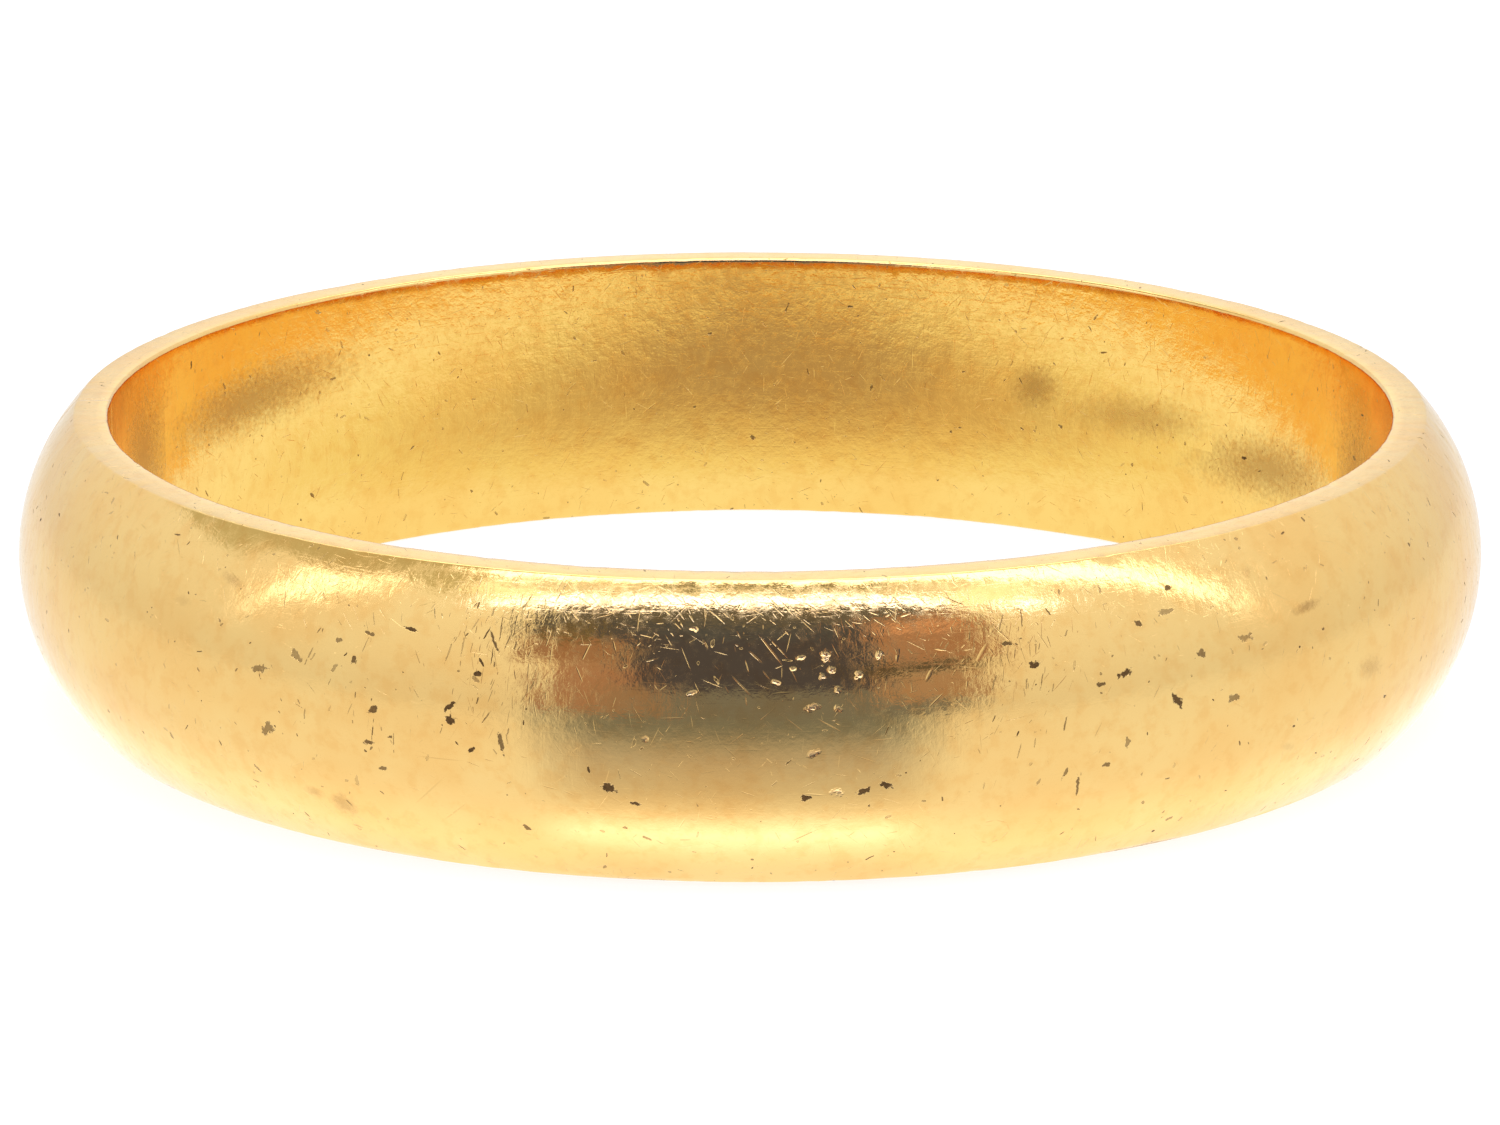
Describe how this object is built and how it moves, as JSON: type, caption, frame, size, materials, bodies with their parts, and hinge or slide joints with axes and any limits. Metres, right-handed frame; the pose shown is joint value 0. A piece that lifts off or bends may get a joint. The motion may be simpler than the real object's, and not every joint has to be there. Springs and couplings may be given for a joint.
{
  "type": "wedding band",
  "caption": "Plain domed wedding band of half-round gold wire, with narrow flat rims, a straight finger bore and a soldered butt joint.",
  "frame": {"origin": "centre of the finger hole, half way across the band's width", "axes": "+Z runs along the finger hole, which is the ring's own axis. -Y is the side that the picture looks at. The soldered joint lies at -X."},
  "size_m": [0.0204, 0.0204, 0.004],
  "materials": {
    "gold": "polished and worn, with fine scratches and pits",
    "gold_solder": "polished flush with the band, a little paler and more porous"
  },
  "bodies": {
    "root": {"band": "gold", "solder_seam": "gold_solder"}
  },
  "joints": []
}
